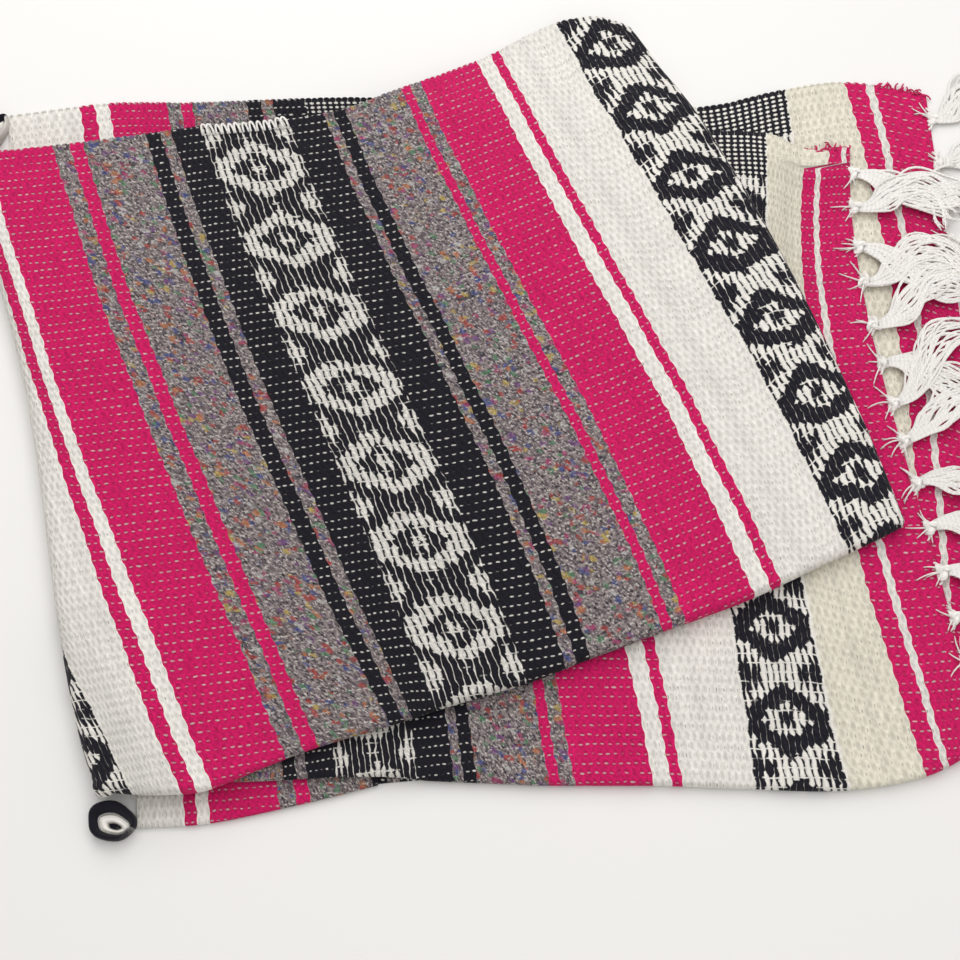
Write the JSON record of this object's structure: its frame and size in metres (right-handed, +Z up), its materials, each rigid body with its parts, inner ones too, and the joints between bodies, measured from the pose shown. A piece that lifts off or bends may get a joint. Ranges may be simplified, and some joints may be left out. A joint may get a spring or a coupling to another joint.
{
  "type": "folded woven blanket",
  "caption": "Thick hand-loomed striped blanket with knotted fringes, folded in four and laid askew on a flat surface, its top leaf turned over the lower half.",
  "frame": {"origin": "middle of the part's box, on the flat surface that it lies on", "axes": "+X along the blanket's length, towards the fringed ends, +Y towards the selvedges, +Z up"},
  "size_m": [1.0758, 0.8258, 0.0328],
  "materials": {
    "pink_yarn": "matt magenta wool-like weft with rows of white warp dashes",
    "white_yarn": "matt warm white yarn, slightly fuzzy",
    "grey_tweed": "matt grey recycled yarn with flecks of many colours",
    "black_yarn": "matt blue-black yarn with white pick-up figures"
  },
  "bodies": {
    "root": {"top_leaf": "grey_tweed", "middle_ply": "pink_yarn", "under_ply": "white_yarn", "tucked_edge": "pink_yarn", "inner_layers": "grey_tweed", "inner_corner": "white_yarn", "spine_foot": "black_yarn", "spine_head": "black_yarn", "middle_fringe": "white_yarn", "under_fringe": "white_yarn"}
  },
  "joints": []
}
